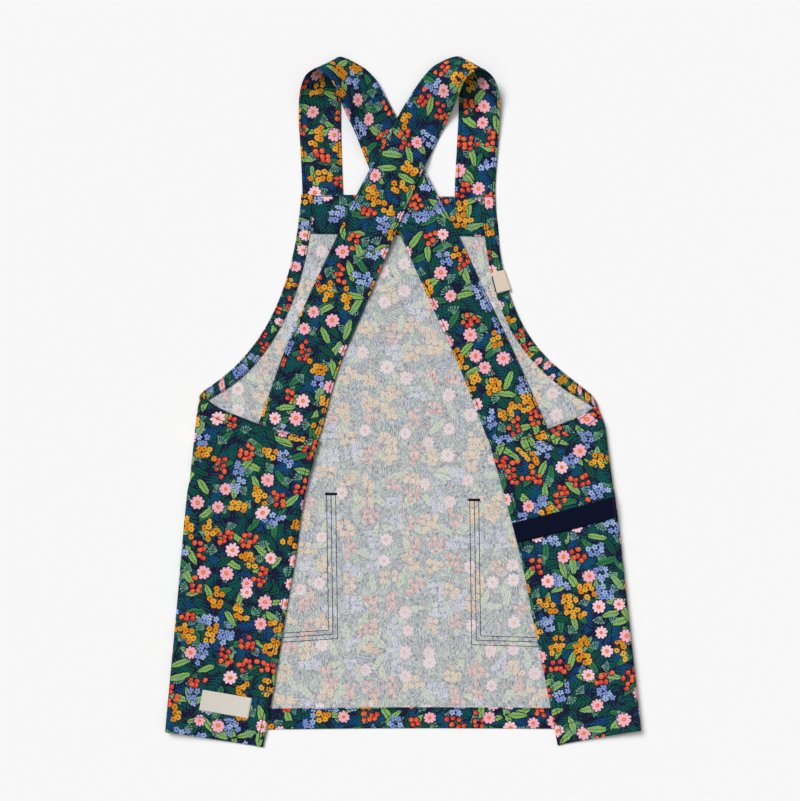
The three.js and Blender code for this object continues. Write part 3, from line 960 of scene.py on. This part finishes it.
for side in SIDES:
    def pocket_place(across, along):
        y = side.pocket_mouth + (side.pocket_bottom - side.pocket_mouth) * along
        x = pocket_inner(side, y) + (pocket_outer(side, y) - pocket_inner(side, y)) * across
        y = side.pocket_mouth + (pocket_floor(side, x) - side.pocket_mouth) * along
        return point(x, y, FRONT_REST)

    def pocket_cut(across, along):
        return pocket_place(across, along)[..., :2] + np.multiply(POCKET_ON_PRINT, (side.inward, 1))

    bm = lay_cloth(POCKET_COLUMNS, POCKET_HEIGHTS, pocket_place, pocket_cut, flip=side is RIGHT)
    pocket = add_piece(f"pocket_{side.name}_patch", bm, (printed_canvas, wrong_side))
    give_wall(pocket, CANVAS, two_faced=True)
    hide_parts(f"pocket_{side.name}")

    seams = []
    for row in POCKET_ROWS:
        heights = np.linspace(side.pocket_mouth - ROW_BELOW_MOUTH, side.pocket_bottom + row, 40)
        seam = inside_front(pocket_inner(side, heights) - side.inward * row, heights)
        corner = pocket_inner(side, side.pocket_bottom) - side.inward * row
        ways = np.linspace(corner, pocket_outer(side, side.pocket_bottom), 40)
        base = inside_front(ways, pocket_floor(side, ways) + row)
        seams += [flat_seam(seam), flat_seam(base)]
    stitching = sew(f"pocket_{side.name}_stitching", seams)

    tack_start = pocket_inner(side, side.pocket_mouth)
    count = round(BAR_TACK.length / BAR_TACK.pitch)
    tack_ends = side.pocket_mouth + BAR_TACK.stitch[0] * np.array([0.5, -0.5])
    tack_seams = []
    for x in np.linspace(tack_start, tack_start - side.inward * BAR_TACK.length, count):
        tack_seams.append(flat_seam(inside_front(x, tack_ends)))
    tack_name = f"pocket_{side.name}_bar_tack"
    tack = sew(tack_name, tack_seams, pitch=BAR_TACK.stitch[0], stitch=BAR_TACK.stitch)
    side.pocket_mouth - side.pocket_bottom

# Bib facing and armhole facings
# Strips of the printed canvas sewn to the bib's top edge and to the armholes, turned to the inside and
# topstitched down. The armhole strips are cut on the bias and run on under the top edges of the wings.
ARMHOLE_STRIP = 0.0165
BIB_FACING_DEPTH = 0.050
STRAP_CLOTH = 0.002
STRAP_GAP = 0.0003
STRAP_END_WIDTH = 0.052
STRAP_TUCKED_IN = 0.020
STRAP_ENDS = [
    SimpleNamespace(
        left=x - STRAP_END_WIDTH / 2,
        right=x + STRAP_END_WIDTH / 2,
        bottom=y - STRAP_TUCKED_IN,
        top=y,
        margin=0.014,
        slope=0.012,
    )
    for x, y in ((-0.1035, 0.2635), (0.0908, 0.2605))
]
EDGE_ROLL = 0.0007
EDGE_ROW = 0.0025
STRIP_WIDE = 8
STRIP_FRONT = 90
STRIP_FOLD = 12
STRIP_WING = 34
STRIP_STEPS = STRIP_FRONT + STRIP_FOLD + STRIP_WING
STRIP_SWINGS_AT = 0.7
STRIP_CUT = 0.7
STRIP_ON_PRINT = 0.3
STRIP_ROW_ENDS = 0.98
FACING_LAP = 0.003
FACING_PRESSED = 0.0004
FACING_ON_PRINT = (0.45, 0.4)
FACING_COLUMNS = 70
FACING_ROWS = 16


def facing_height(x, y):
    """The middle of a facing: on the front, and over the strap ends that are sewn in under it."""
    over = np.max([near_box(x, y, box) for box in STRAP_ENDS], axis=0)
    return front_height(x, y) + LAYER + (STRAP_CLOTH + STRAP_GAP) * over


def strip_inwards(side, share):
    """The direction across the strip, which swings round to follow the side fold at its lower end."""
    step = 1e-3
    low, high = np.clip(share - step, 0, 1), np.clip(share + step, 0, 1)
    tangent = unit(armhole(side, high) - armhole(side, low))
    square = np.stack([-tangent[..., 1], tangent[..., 0]], axis=-1) * side.inward
    down = unit(np.subtract(side.fold_bottom, side.fold_top))
    swing = ease(share, STRIP_SWINGS_AT, 1)[..., None]
    return unit(square + (down - square) * swing)


def roll_edge(depth, height, low):
    """Near its seamed edge a facing rolls down to the layer that it is sewn to."""
    return low + (height - low) * np.sqrt(ease(depth, -EDGE_ROLL / 2, EDGE_ROLL * 3))


def strip_point(side, depth, step):
    if step <= STRIP_FRONT:
        share = np.asarray(step / STRIP_FRONT)
        edge = armhole(side, share)
        flat = edge + strip_inwards(side, share) * np.asarray(depth)[..., None]
        x, y = flat[..., 0], flat[..., 1]
        low = front_height(x, y) + CANVAS
        return point(x, y, roll_edge(depth, facing_height(x, y), low))
    past = step - STRIP_FRONT
    reach = past / STRIP_FOLD - 1 if past <= STRIP_FOLD else (past - STRIP_FOLD) / STRIP_WING
    column = wing_column(side, reach)
    return beside_cloth(column, depth / column_length(column), -LAYER)


def armhole_at_height(side, y):
    """The x of the armhole edge at a given height."""
    shares = np.linspace(0, 1, 200)
    edge = armhole(side, shares)
    return np.interp(-np.asarray(y), -edge[:, 1], edge[:, 0])


for side in SIDES:
    def strip_place(across, along):
        return strip_point(side, along * ARMHOLE_STRIP, across * STRIP_STEPS)

    def strip_cut(across, along):
        return straight_cut(STRIP_CUT, ARMHOLE_STRIP, across, along) + (0, STRIP_ON_PRINT * side.inward)

    bm = lay_cloth(STRIP_STEPS, STRIP_WIDE, strip_place, strip_cut, flip=side is LEFT)
    strip_name = f"armhole_facing_{side.name}"
    strip = add_piece(f"{strip_name}_strip", bm, (printed_canvas, wrong_side))
    give_wall(strip, CANVAS, two_faced=True)
    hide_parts(strip_name)
    seams = []
    for depth in (EDGE_ROW, ARMHOLE_STRIP - EDGE_ROW):
        steps = np.linspace(0, STRIP_FRONT, 150)
        seam = np.array([strip_point(side, depth, step) for step in steps]) + (0, 0, face)
        seams.append(flat_seam(seam))
        columns = [wing_column(side, reach) for reach in np.linspace(0.0, STRIP_ROW_ENDS, 60)]
        seams.append(cloth_seam([(column, depth / column_length(column)) for column in columns], face))
    stitching = sew(f"armhole_{side.name}_stitching", seams)


def bib_facing_flat(across, along):
    depth = np.asarray(along) * BIB_FACING_DEPTH
    ends = []
    for side in SIDES:
        y = side.bib_corner[1] - depth
        x = armhole_at_height(side, y) + side.inward * (ARMHOLE_STRIP - FACING_LAP)
        ends.append(np.stack([x, y], axis=-1))
    return ends[0] + (ends[1] - ends[0]) * across


def bib_facing_place(across, along):
    flat = bib_facing_flat(across, along)
    x, y = flat[..., 0], flat[..., 1]
    depth = np.asarray(along) * BIB_FACING_DEPTH
    height = facing_height(x, y) - FACING_PRESSED
    return point(x, y, roll_edge(depth, height, front_height(x, y) + CANVAS))


def bib_facing_cut(across, along):
    return bib_facing_flat(across, along) + FACING_ON_PRINT


bm = lay_cloth(FACING_COLUMNS, FACING_ROWS, bib_facing_place, bib_facing_cut)
bib_facing = add_piece("bib_facing_band", bm, (printed_canvas, wrong_side))
give_wall(bib_facing, CANVAS, two_faced=True)
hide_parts("bib_facing")
seams = []
for along in (EDGE_ROW / BIB_FACING_DEPTH, 1 - EDGE_ROW / BIB_FACING_DEPTH):
    seam = np.array([bib_facing_place(across, along) for across in np.linspace(0.01, 0.99, 120)])
    seams.append(flat_seam(seam + (0, 0, face)))
facing_stitching = sew("bib_facing_stitching", seams)

# Straps
# Flared bands of doubled canvas, printed on both faces and topstitched along both edges. They are sewn
# in under the bib facing, roll over at the shoulders in open loops, cross, and end under the far wings.
StrapEdges = namedtuple("StrapEdges", "left_x left_y left_z right_x right_y right_z")
STRAP_LEFT = [
    StrapEdges(-0.1295, 0.2435, 0.0023, -0.0775, 0.2435, 0.0023),
    StrapEdges(-0.1295, 0.2635, 0.0023, -0.0775, 0.2635, 0.0023),
    StrapEdges(-0.1301, 0.2850, 0.0013, -0.0781, 0.2850, 0.0013),
    StrapEdges(-0.1324, 0.3300, 0.0013, -0.0796, 0.3300, 0.0013),
    StrapEdges(-0.1340, 0.3528, 0.0030, -0.0800, 0.3570, 0.0013),
    StrapEdges(-0.1337, 0.3719, 0.0075, -0.0802, 0.3790, 0.0014),
    StrapEdges(-0.1327, 0.3864, 0.0140, -0.0804, 0.3960, 0.0016),
    StrapEdges(-0.1293, 0.4003, 0.0220, -0.0813, 0.4115, 0.0025),
    StrapEdges(-0.1223, 0.4110, 0.0300, -0.0828, 0.4244, 0.0045),
    StrapEdges(-0.1104, 0.4158, 0.0360, -0.0841, 0.4341, 0.0062),
    StrapEdges(-0.0983, 0.4102, 0.0395, -0.0808, 0.4371, 0.0082),
    StrapEdges(-0.0909, 0.4012, 0.0405, -0.0708, 0.4344, 0.0076),
    StrapEdges(-0.0859, 0.3914, 0.0395, -0.0605, 0.4295, 0.0066),
    StrapEdges(-0.0808, 0.3791, 0.0355, -0.0476, 0.4215, 0.0056),
    StrapEdges(-0.0730, 0.3614, 0.0275, -0.0322, 0.4048, 0.0048),
    StrapEdges(-0.0622, 0.3397, 0.0165, -0.0184, 0.3788, 0.0042),
    StrapEdges(-0.0444, 0.2962, 0.0064, 0.0085, 0.3292, 0.0044),
    StrapEdges(-0.0146, 0.2341, 0.0052, 0.0428, 0.2620, 0.0062),
    StrapEdges(0.0065, 0.1856, 0.0044, 0.0681, 0.2144, 0.0050),
    StrapEdges(0.0385, 0.1143, 0.0034, 0.1015, 0.1437, 0.0034),
    StrapEdges(0.0703, 0.0430, 0.0034, 0.1355, 0.0726, 0.0034),
    StrapEdges(0.0984, -0.0286, 0.0036, 0.1670, 0.0020, 0.0036),
    StrapEdges(0.1153, -0.0695, 0.0036, 0.1847, -0.0385, 0.0036),
]
STRAP_RIGHT = [
    StrapEdges(0.0648, 0.2405, 0.0023, 0.1168, 0.2405, 0.0023),
    StrapEdges(0.0643, 0.2605, 0.0023, 0.1163, 0.2605, 0.0023),
    StrapEdges(0.0648, 0.2820, 0.0013, 0.1168, 0.2820, 0.0018),
    StrapEdges(0.0672, 0.3260, 0.0013, 0.1196, 0.3260, 0.0038),
    StrapEdges(0.0688, 0.3560, 0.0013, 0.1213, 0.3536, 0.0062),
    StrapEdges(0.0698, 0.3790, 0.0014, 0.1220, 0.3717, 0.0082),
    StrapEdges(0.0702, 0.3960, 0.0016, 0.1214, 0.3846, 0.0115),
    StrapEdges(0.0706, 0.4115, 0.0020, 0.1188, 0.3971, 0.0162),
    StrapEdges(0.0711, 0.4248, 0.0032, 0.1130, 0.4077, 0.0225),
    StrapEdges(0.0716, 0.4344, 0.0062, 0.1030, 0.4146, 0.0300),
    StrapEdges(0.0674, 0.4371, 0.0105, 0.0912, 0.4146, 0.0362),
    StrapEdges(0.0570, 0.4344, 0.0130, 0.0818, 0.4084, 0.0395),
    StrapEdges(0.0466, 0.4296, 0.0145, 0.0755, 0.4003, 0.0385),
    StrapEdges(0.0354, 0.4226, 0.0152, 0.0705, 0.3892, 0.0335),
    StrapEdges(0.0210, 0.4068, 0.0128, 0.0622, 0.3712, 0.0130),
    StrapEdges(0.0014, 0.3775, 0.0104, 0.0502, 0.3461, 0.0026),
    StrapEdges(-0.0143, 0.3491, 0.0100, 0.0356, 0.3168, 0.0030),
    StrapEdges(-0.0244, 0.3302, 0.0114, 0.0255, 0.2959, 0.0074),
    StrapEdges(-0.0587, 0.2662, 0.0085, 0.0003, 0.2388, 0.0088),
    StrapEdges(-0.0829, 0.2152, 0.0062, -0.0213, 0.1878, 0.0067),
    StrapEdges(-0.1167, 0.1439, 0.0037, -0.0513, 0.1161, 0.0038),
    StrapEdges(-0.1494, 0.0715, 0.0034, -0.0818, 0.0441, 0.0034),
    StrapEdges(-0.1750, 0.0000, 0.0036, -0.1018, -0.0266, 0.0036),
    StrapEdges(-0.1881, -0.0353, 0.0036, -0.1129, -0.0627, 0.0036),
]
STRAP_WALL = 0.0017
STRAP_REST = 0.0014
STRAP_CAMBER = 0.06
STRAP_WIDE = 12
STRAP_LONG = 230
STRAP_ROW = 0.004


def strap_edges(sections, along):
    edges = smooth_through(sections, along)
    return edges[..., :3], edges[..., 3:]


def strap_width(sections, along):
    left, right = strap_edges(sections, along)
    return np.linalg.norm(right - left, axis=-1)


def strap_normal(sections, along):
    """The direction that the strap's upper face has where it leaves the bib, carried along it."""
    step = 1e-3
    left, right = strap_edges(sections, along)
    ahead = sum(strap_edges(sections, np.minimum(along + step, 1)))
    behind = sum(strap_edges(sections, np.maximum(along - step, 0)))
    return unit(np.cross(right - left, ahead - behind))


def strap_point(sections, across, along):
    """A point of the strap. Where its edges come closer together in the loop, it bulges out between them."""
    left, right = strap_edges(sections, along)
    chord = strap_width(sections, along)
    slack = np.maximum(STRAP_END_WIDTH - chord, 0)
    bulge = STRAP_CAMBER * np.sqrt(slack * chord) * 4 * across * (1 - across)
    share = np.broadcast_to(across, chord.shape)[..., None]
    place = left + (right - left) * share - strap_normal(sections, along) * bulge[..., None]
    place[..., 2] = np.maximum(place[..., 2], STRAP_REST)
    return place


for name, sections, on_print in (("left", STRAP_LEFT, (0.2, -0.6)), ("right", STRAP_RIGHT, (-0.3, -0.7))):
    shares = np.linspace(0, 1, 400)
    route = strap_point(sections, 0.5, shares)
    run = np.concatenate([[0], np.cumsum(np.linalg.norm(np.diff(route, axis=0), axis=1))])

    def strap_place(across, along):
        return strap_point(sections, across, along)

    def strap_cut(across, along):
        width = strap_width(sections, along)
        return np.stack([(across - 0.5) * width, np.interp(along, shares, run)], axis=-1) + on_print

    bm = lay_cloth(STRAP_WIDE, STRAP_LONG, strap_place, strap_cut, flip=True)
    strap = add_piece(f"strap_{name}_band", bm, (printed_canvas,))
    give_wall(strap, STRAP_WALL)
    rounding = strap.modifiers.new("rounding", "SUBSURF")
    rounding.levels = rounding.render_levels = 1
    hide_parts(f"strap_{name}")

    seams = []
    steps = np.linspace(0.02, 0.99, 300)
    for edge in (-1, 1):
        across = 0.5 + edge * (0.5 - STRAP_ROW / strap_width(sections, steps))
        spots = strap_point(sections, across, steps)
        normals = strap_normal(sections, steps)
        for side_up in (-1, 1):
            seams.append((spots + side_up * normals * (STRAP_WALL / 2 + STITCH_PROUD), side_up * normals))
    stitching = sew(f"strap_{name}_stitching", seams)

# Towel loop
# A plain navy cotton tape laid across the right wing, caught in the side hem at one end and held by
# a bar tack at the fold.
TOWEL_LOOP = SimpleNamespace(along_at_fold=0.3165, along_at_edge=0.2857, width=0.026, on_fold=0.2)
TAPE_WALL = 0.0011
LOOP_LONG = 60
LOOP_WIDE = 10
LOOP_CUT = 0.15
LOOP_TACK = SimpleNamespace(along=0.95, share=0.9, ends=(-0.17, 0.0))
TWILL = SimpleNamespace(band=6.0, ribs=0.55, grain=0.45, grain_scale=1.3, gloss=0.05)
TAPE_WAVE = SimpleNamespace(length=25, height=0.5)


def loop_row(along):
    """The column of a place along the tape, how far down the cloth it lies and half its width there."""
    place = 1 - (1 + TOWEL_LOOP.on_fold) * along
    share = min(max(place, 0), 1)
    centre = TOWEL_LOOP.along_at_fold + (TOWEL_LOOP.along_at_edge - TOWEL_LOOP.along_at_fold) * share
    column = wing_column(RIGHT, place)
    return column, centre, TOWEL_LOOP.width / 2 / column_length(column)


def loop_place(across, along):
    column, centre, half = loop_row(across)
    return beside_cloth(column, centre + half * (2 * along - 1), LAYER)


def loop_cut(across, along):
    return straight_cut(LOOP_CUT, TOWEL_LOOP.width, across, along)


def make_tape(name, color, shade, rib, raised):
    """A twill tape: fine slanting ribs that change direction along the middle of each band."""
    material, shader, place = start_material(name)
    x, y, _ = place.parts()
    ribs = (x + y.zigzag(TWILL.band)).math("MULTIPLY", math.tau / rib).sine() * 0.5 + 0.5
    grain = place.noise(TWILL.grain_scale, 2.0)
    (ribs * TWILL.ribs + grain * TWILL.grain).either(shade, color).feed(shader.inputs["Base Color"])
    (grain * 0.2 + 0.7).feed(shader.inputs["Roughness"])
    shader.inputs["Specular IOR Level"].default_value = TWILL.gloss
    raise_surface(shader, ribs * raised + place.noise(1 / TAPE_WAVE.length, 1.0) * TAPE_WAVE.height)
    return material


navy_tape = make_tape("navy_tape", paint(13, 19, 46), paint(6, 10, 30), 0.9, 0.05)
bm = lay_cloth(LOOP_LONG, LOOP_WIDE, loop_place, loop_cut)
towel_loop = add_piece("towel_loop_tape", bm, (navy_tape,))
give_wall(towel_loop, TAPE_WALL)
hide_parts("towel_loop")

seams = []
count = round(TOWEL_LOOP.width * LOOP_TACK.share / BAR_TACK.pitch)
_, centre, half = loop_row(LOOP_TACK.along)
for share in np.linspace(-LOOP_TACK.share, LOOP_TACK.share, count):
    spots = [(wing_column(RIGHT, reach), centre + half * share) for reach in LOOP_TACK.ends]
    seams.append(cloth_seam(spots, LAYER + TAPE_WALL / 2 + STITCH_PROUD))
loop_tack = sew("towel_loop_bar_tack", seams, pitch=BAR_TACK.stitch[0], stitch=BAR_TACK.stitch)

# Label
# A blank label of beige woven ribbon on the left wing, near the hem. Its two ends are sewn down
# with beige thread.
LABEL = SimpleNamespace(middle=(-0.2265, -0.3840), turn=-0.183, width=0.0630, height=0.0262, wall=0.0007)
LABEL_GAP = 0.0002
LABEL_COLUMNS = 50
LABEL_ROWS = 20
LABEL_SEAM = 0.0016
LABEL_OFF_CLOTH = CANVAS / 2 + LABEL.wall / 2 + LABEL_GAP
RIBBON = SimpleNamespace(warp=0.5, weft=0.45, streak=(0.3, 2.0, 1.0), scale=0.8, thread=0.04, grain=0.08)
FINE_SEWING = SimpleNamespace(pitch=0.0022, stitch=(0.0018, 0.0004, 0.0003))


def on_left_wing(flat):
    """How far across and along the left wing a place seen from above lies, found in a few steps."""
    spot, step = np.array([0.5, 0.9]), 1e-3
    for _ in range(4):
        here = wing_point(LEFT, *spot)[:2]
        slopes = [wing_point(LEFT, *(spot + nudge))[:2] - here for nudge in step * np.eye(2)]
        spot = spot + step * np.linalg.solve(np.transpose(slopes), flat - here)
    return spot


def label_place(across, along):
    rightwards = np.array([math.cos(LABEL.turn), math.sin(LABEL.turn)])
    downwards = np.array([rightwards[1], -rightwards[0]])
    spots = []
    for share in along:
        flat = rightwards * (across - 0.5) * LABEL.width + downwards * (share - 0.5) * LABEL.height
        wing_across, wing_along = on_left_wing(LABEL.middle + flat)
        spots.append(beside_cloth(wing_column(LEFT, wing_across), wing_along, LABEL_OFF_CLOTH))
    return np.array(spots)


def label_cut(across, along):
    return straight_cut(LABEL.width, LABEL.height, across, along)


def make_label_ribbon():
    material, shader, place = start_material("label_ribbon")
    x, y, _ = place.parts()
    threads = (x * (math.tau / RIBBON.warp)).sine() * (y * (math.tau / RIBBON.weft)).sine()
    grain = place.vector("MULTIPLY", RIBBON.streak).noise(RIBBON.scale)
    color = (threads * 0.2 + grain).either(paint(208, 202, 190), paint(228, 222, 211))
    color.feed(shader.inputs["Base Color"])
    (grain * 0.15 + 0.72).feed(shader.inputs["Roughness"])
    raise_surface(shader, threads * RIBBON.thread + grain * RIBBON.grain)
    return material


label_ribbon = make_label_ribbon()
beige_thread = make_thread("beige_thread", paint(196, 188, 172), paint(222, 215, 201))
bm = lay_cloth(LABEL_COLUMNS, LABEL_ROWS, label_place, label_cut)
label = add_piece("label_patch", bm, (label_ribbon,))
give_wall(label, LABEL.wall)
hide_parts("label")
seams = []
inset = LABEL_SEAM / LABEL.width
for across in (inset, 1 - inset):
    spots = label_place(across, np.linspace(0.06, 0.94, 20))
    seams.append(flat_seam(spots + (0, 0, LABEL.wall / 2 + STITCH_PROUD)))
fine_thread = (beige_thread, "label_ribbon", FINE_SEWING.pitch, FINE_SEWING.stitch)
label_stitching = sew("label_stitching", seams, *fine_thread)

# Edge tab
# A short piece of beige herringbone tape folded round the right armhole edge, with one leg on each face
# of the cloth, and stitched through.
TAB_TAPE = 0.036
TAB_LEG = 0.46
TAB_SEAM = 0.96
TAB_WALL = 0.0009
TAB_LOW = 0.0005
TAB_HIGH = 0.0044
TAB_PROUD = 0.0016
TAB_FLARE = 0.0022
TAB_BULGE = 0.0008
TAB_LONG = 14
TAB_ROUND = 48


def tab_axes():
    step = 1e-3
    tangent = unit(armhole(RIGHT, TAB_ALONG + step) - armhole(RIGHT, TAB_ALONG - step))
    return np.array([tangent[1], -tangent[0]]), tangent


tab_inwards, tab_edge = tab_axes()


def tab_profile(along, proud):
    """Round the edge: in from the lower leg's end to the bend, proud of it, and out along the upper leg."""
    along = np.asarray(along, float)
    bend = np.clip((along - TAB_LEG) / (1 - 2 * TAB_LEG), 0, 1)
    lower = np.clip(along / TAB_LEG, 0, 1)
    upper = np.clip((along - 1 + TAB_LEG) / TAB_LEG, 0, 1)
    run = TAB_REACH + proud
    depth = TAB_REACH - run * lower + run * upper - TAB_BULGE * np.sin(np.pi * bend)
    height = TAB_LOW + (TAB_HIGH - TAB_LOW) * (1 - np.cos(np.pi * bend)) / 2
    return depth, height


def tab_place(across, along):
    depth, height = tab_profile(along, TAB_PROUD + TAB_FLARE * (across - 0.5))
    flat = tab_point + tab_edge * (across - 0.5) * TAB_LENGTH + tab_inwards * depth[..., None]
    return point(flat[..., 0], flat[..., 1], height)


def tab_cut(across, along):
    return straight_cut(TAB_LENGTH, TAB_TAPE, across, along)


tab_tape = make_tape("tab_tape", paint(232, 216, 198), paint(206, 188, 168), 1.1, 0.06)
bm = lay_cloth(TAB_LONG, TAB_ROUND, tab_place, tab_cut, flip=True)
edge_tab = add_piece("edge_tab_tape", bm, (tab_tape,))
give_wall(edge_tab, TAB_WALL)
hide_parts("edge_tab")
spots = np.array([tab_place(across, TAB_SEAM) for across in np.linspace(0.05, 0.95, 20)])
seams = [flat_seam(spots + (0, 0, TAB_WALL / 2 + STITCH_PROUD))]
tab_stitching = sew("edge_tab_stitching", seams, *fine_thread)

# Stage
# A plain pale floor, broad soft light from the upper left and a fill that is strongest from overhead.
# The camera hangs straight above.
FLOOR_HALF = 30.0
SUN_FROM = Vector((-0.62, 0.62, 1.05))
SUN_WIDTH = math.radians(30)
SUN_STRENGTH = 2.58
FILL_STRENGTH = 0.385
FILL_AT_HORIZON = 0.2
CAMERA_HEIGHT = 2.2
CAMERA_AIM = (-0.0051, 0.0013)
FIELD_WIDTH = 1.016
FIELD_HEIGHT = 0.005

bm = bmesh.new()
bmesh.ops.create_grid(bm, x_segments=8, y_segments=8, size=FLOOR_HALF)
mesh = bpy.data.meshes.new("floor")
bm.to_mesh(mesh)
bm.free()
floor = bpy.data.objects.new("floor", mesh)
bpy.context.scene.collection.objects.link(floor)
pale = bpy.data.materials.new("pale_floor")
pale.use_nodes = True
matt = pale.node_tree.nodes["Principled BSDF"]
matt.inputs["Base Color"].default_value = paint(246, 246, 246)
matt.inputs["Roughness"].default_value = 0.95
matt.inputs["Specular IOR Level"].default_value = 0.0
mesh.materials.append(pale)

sun = bpy.data.objects.new("sun", bpy.data.lights.new("sun", "SUN"))
sun.data.energy = SUN_STRENGTH
sun.data.angle = SUN_WIDTH
sun.rotation_euler = SUN_FROM.to_track_quat("Z", "Y").to_euler()
bpy.context.scene.collection.objects.link(sun)

scene = bpy.context.scene
world = bpy.data.worlds.new("studio")
world.use_nodes = True
background = world.node_tree.nodes["Background"]
background.inputs["Color"].default_value = (1, 1, 1, 1)
sky = Field(world.node_tree, world.node_tree.nodes.new("ShaderNodeTexCoord").outputs["Generated"])
_, _, rise = sky.parts()
overhead = rise.larger(0.0) ** 2 * (2 * (1 - FILL_AT_HORIZON)) + FILL_AT_HORIZON
(overhead * FILL_STRENGTH).feed(background.inputs["Strength"])
scene.world = world
scene.view_settings.view_transform = "Standard"

camera = bpy.data.objects.new("camera", bpy.data.cameras.new("camera"))
camera.location = (*CAMERA_AIM, CAMERA_HEIGHT)
camera.data.sensor_fit = "HORIZONTAL"
camera.data.lens = camera.data.sensor_width * (CAMERA_HEIGHT - FIELD_HEIGHT) / FIELD_WIDTH
scene.collection.objects.link(camera)
scene.camera = camera
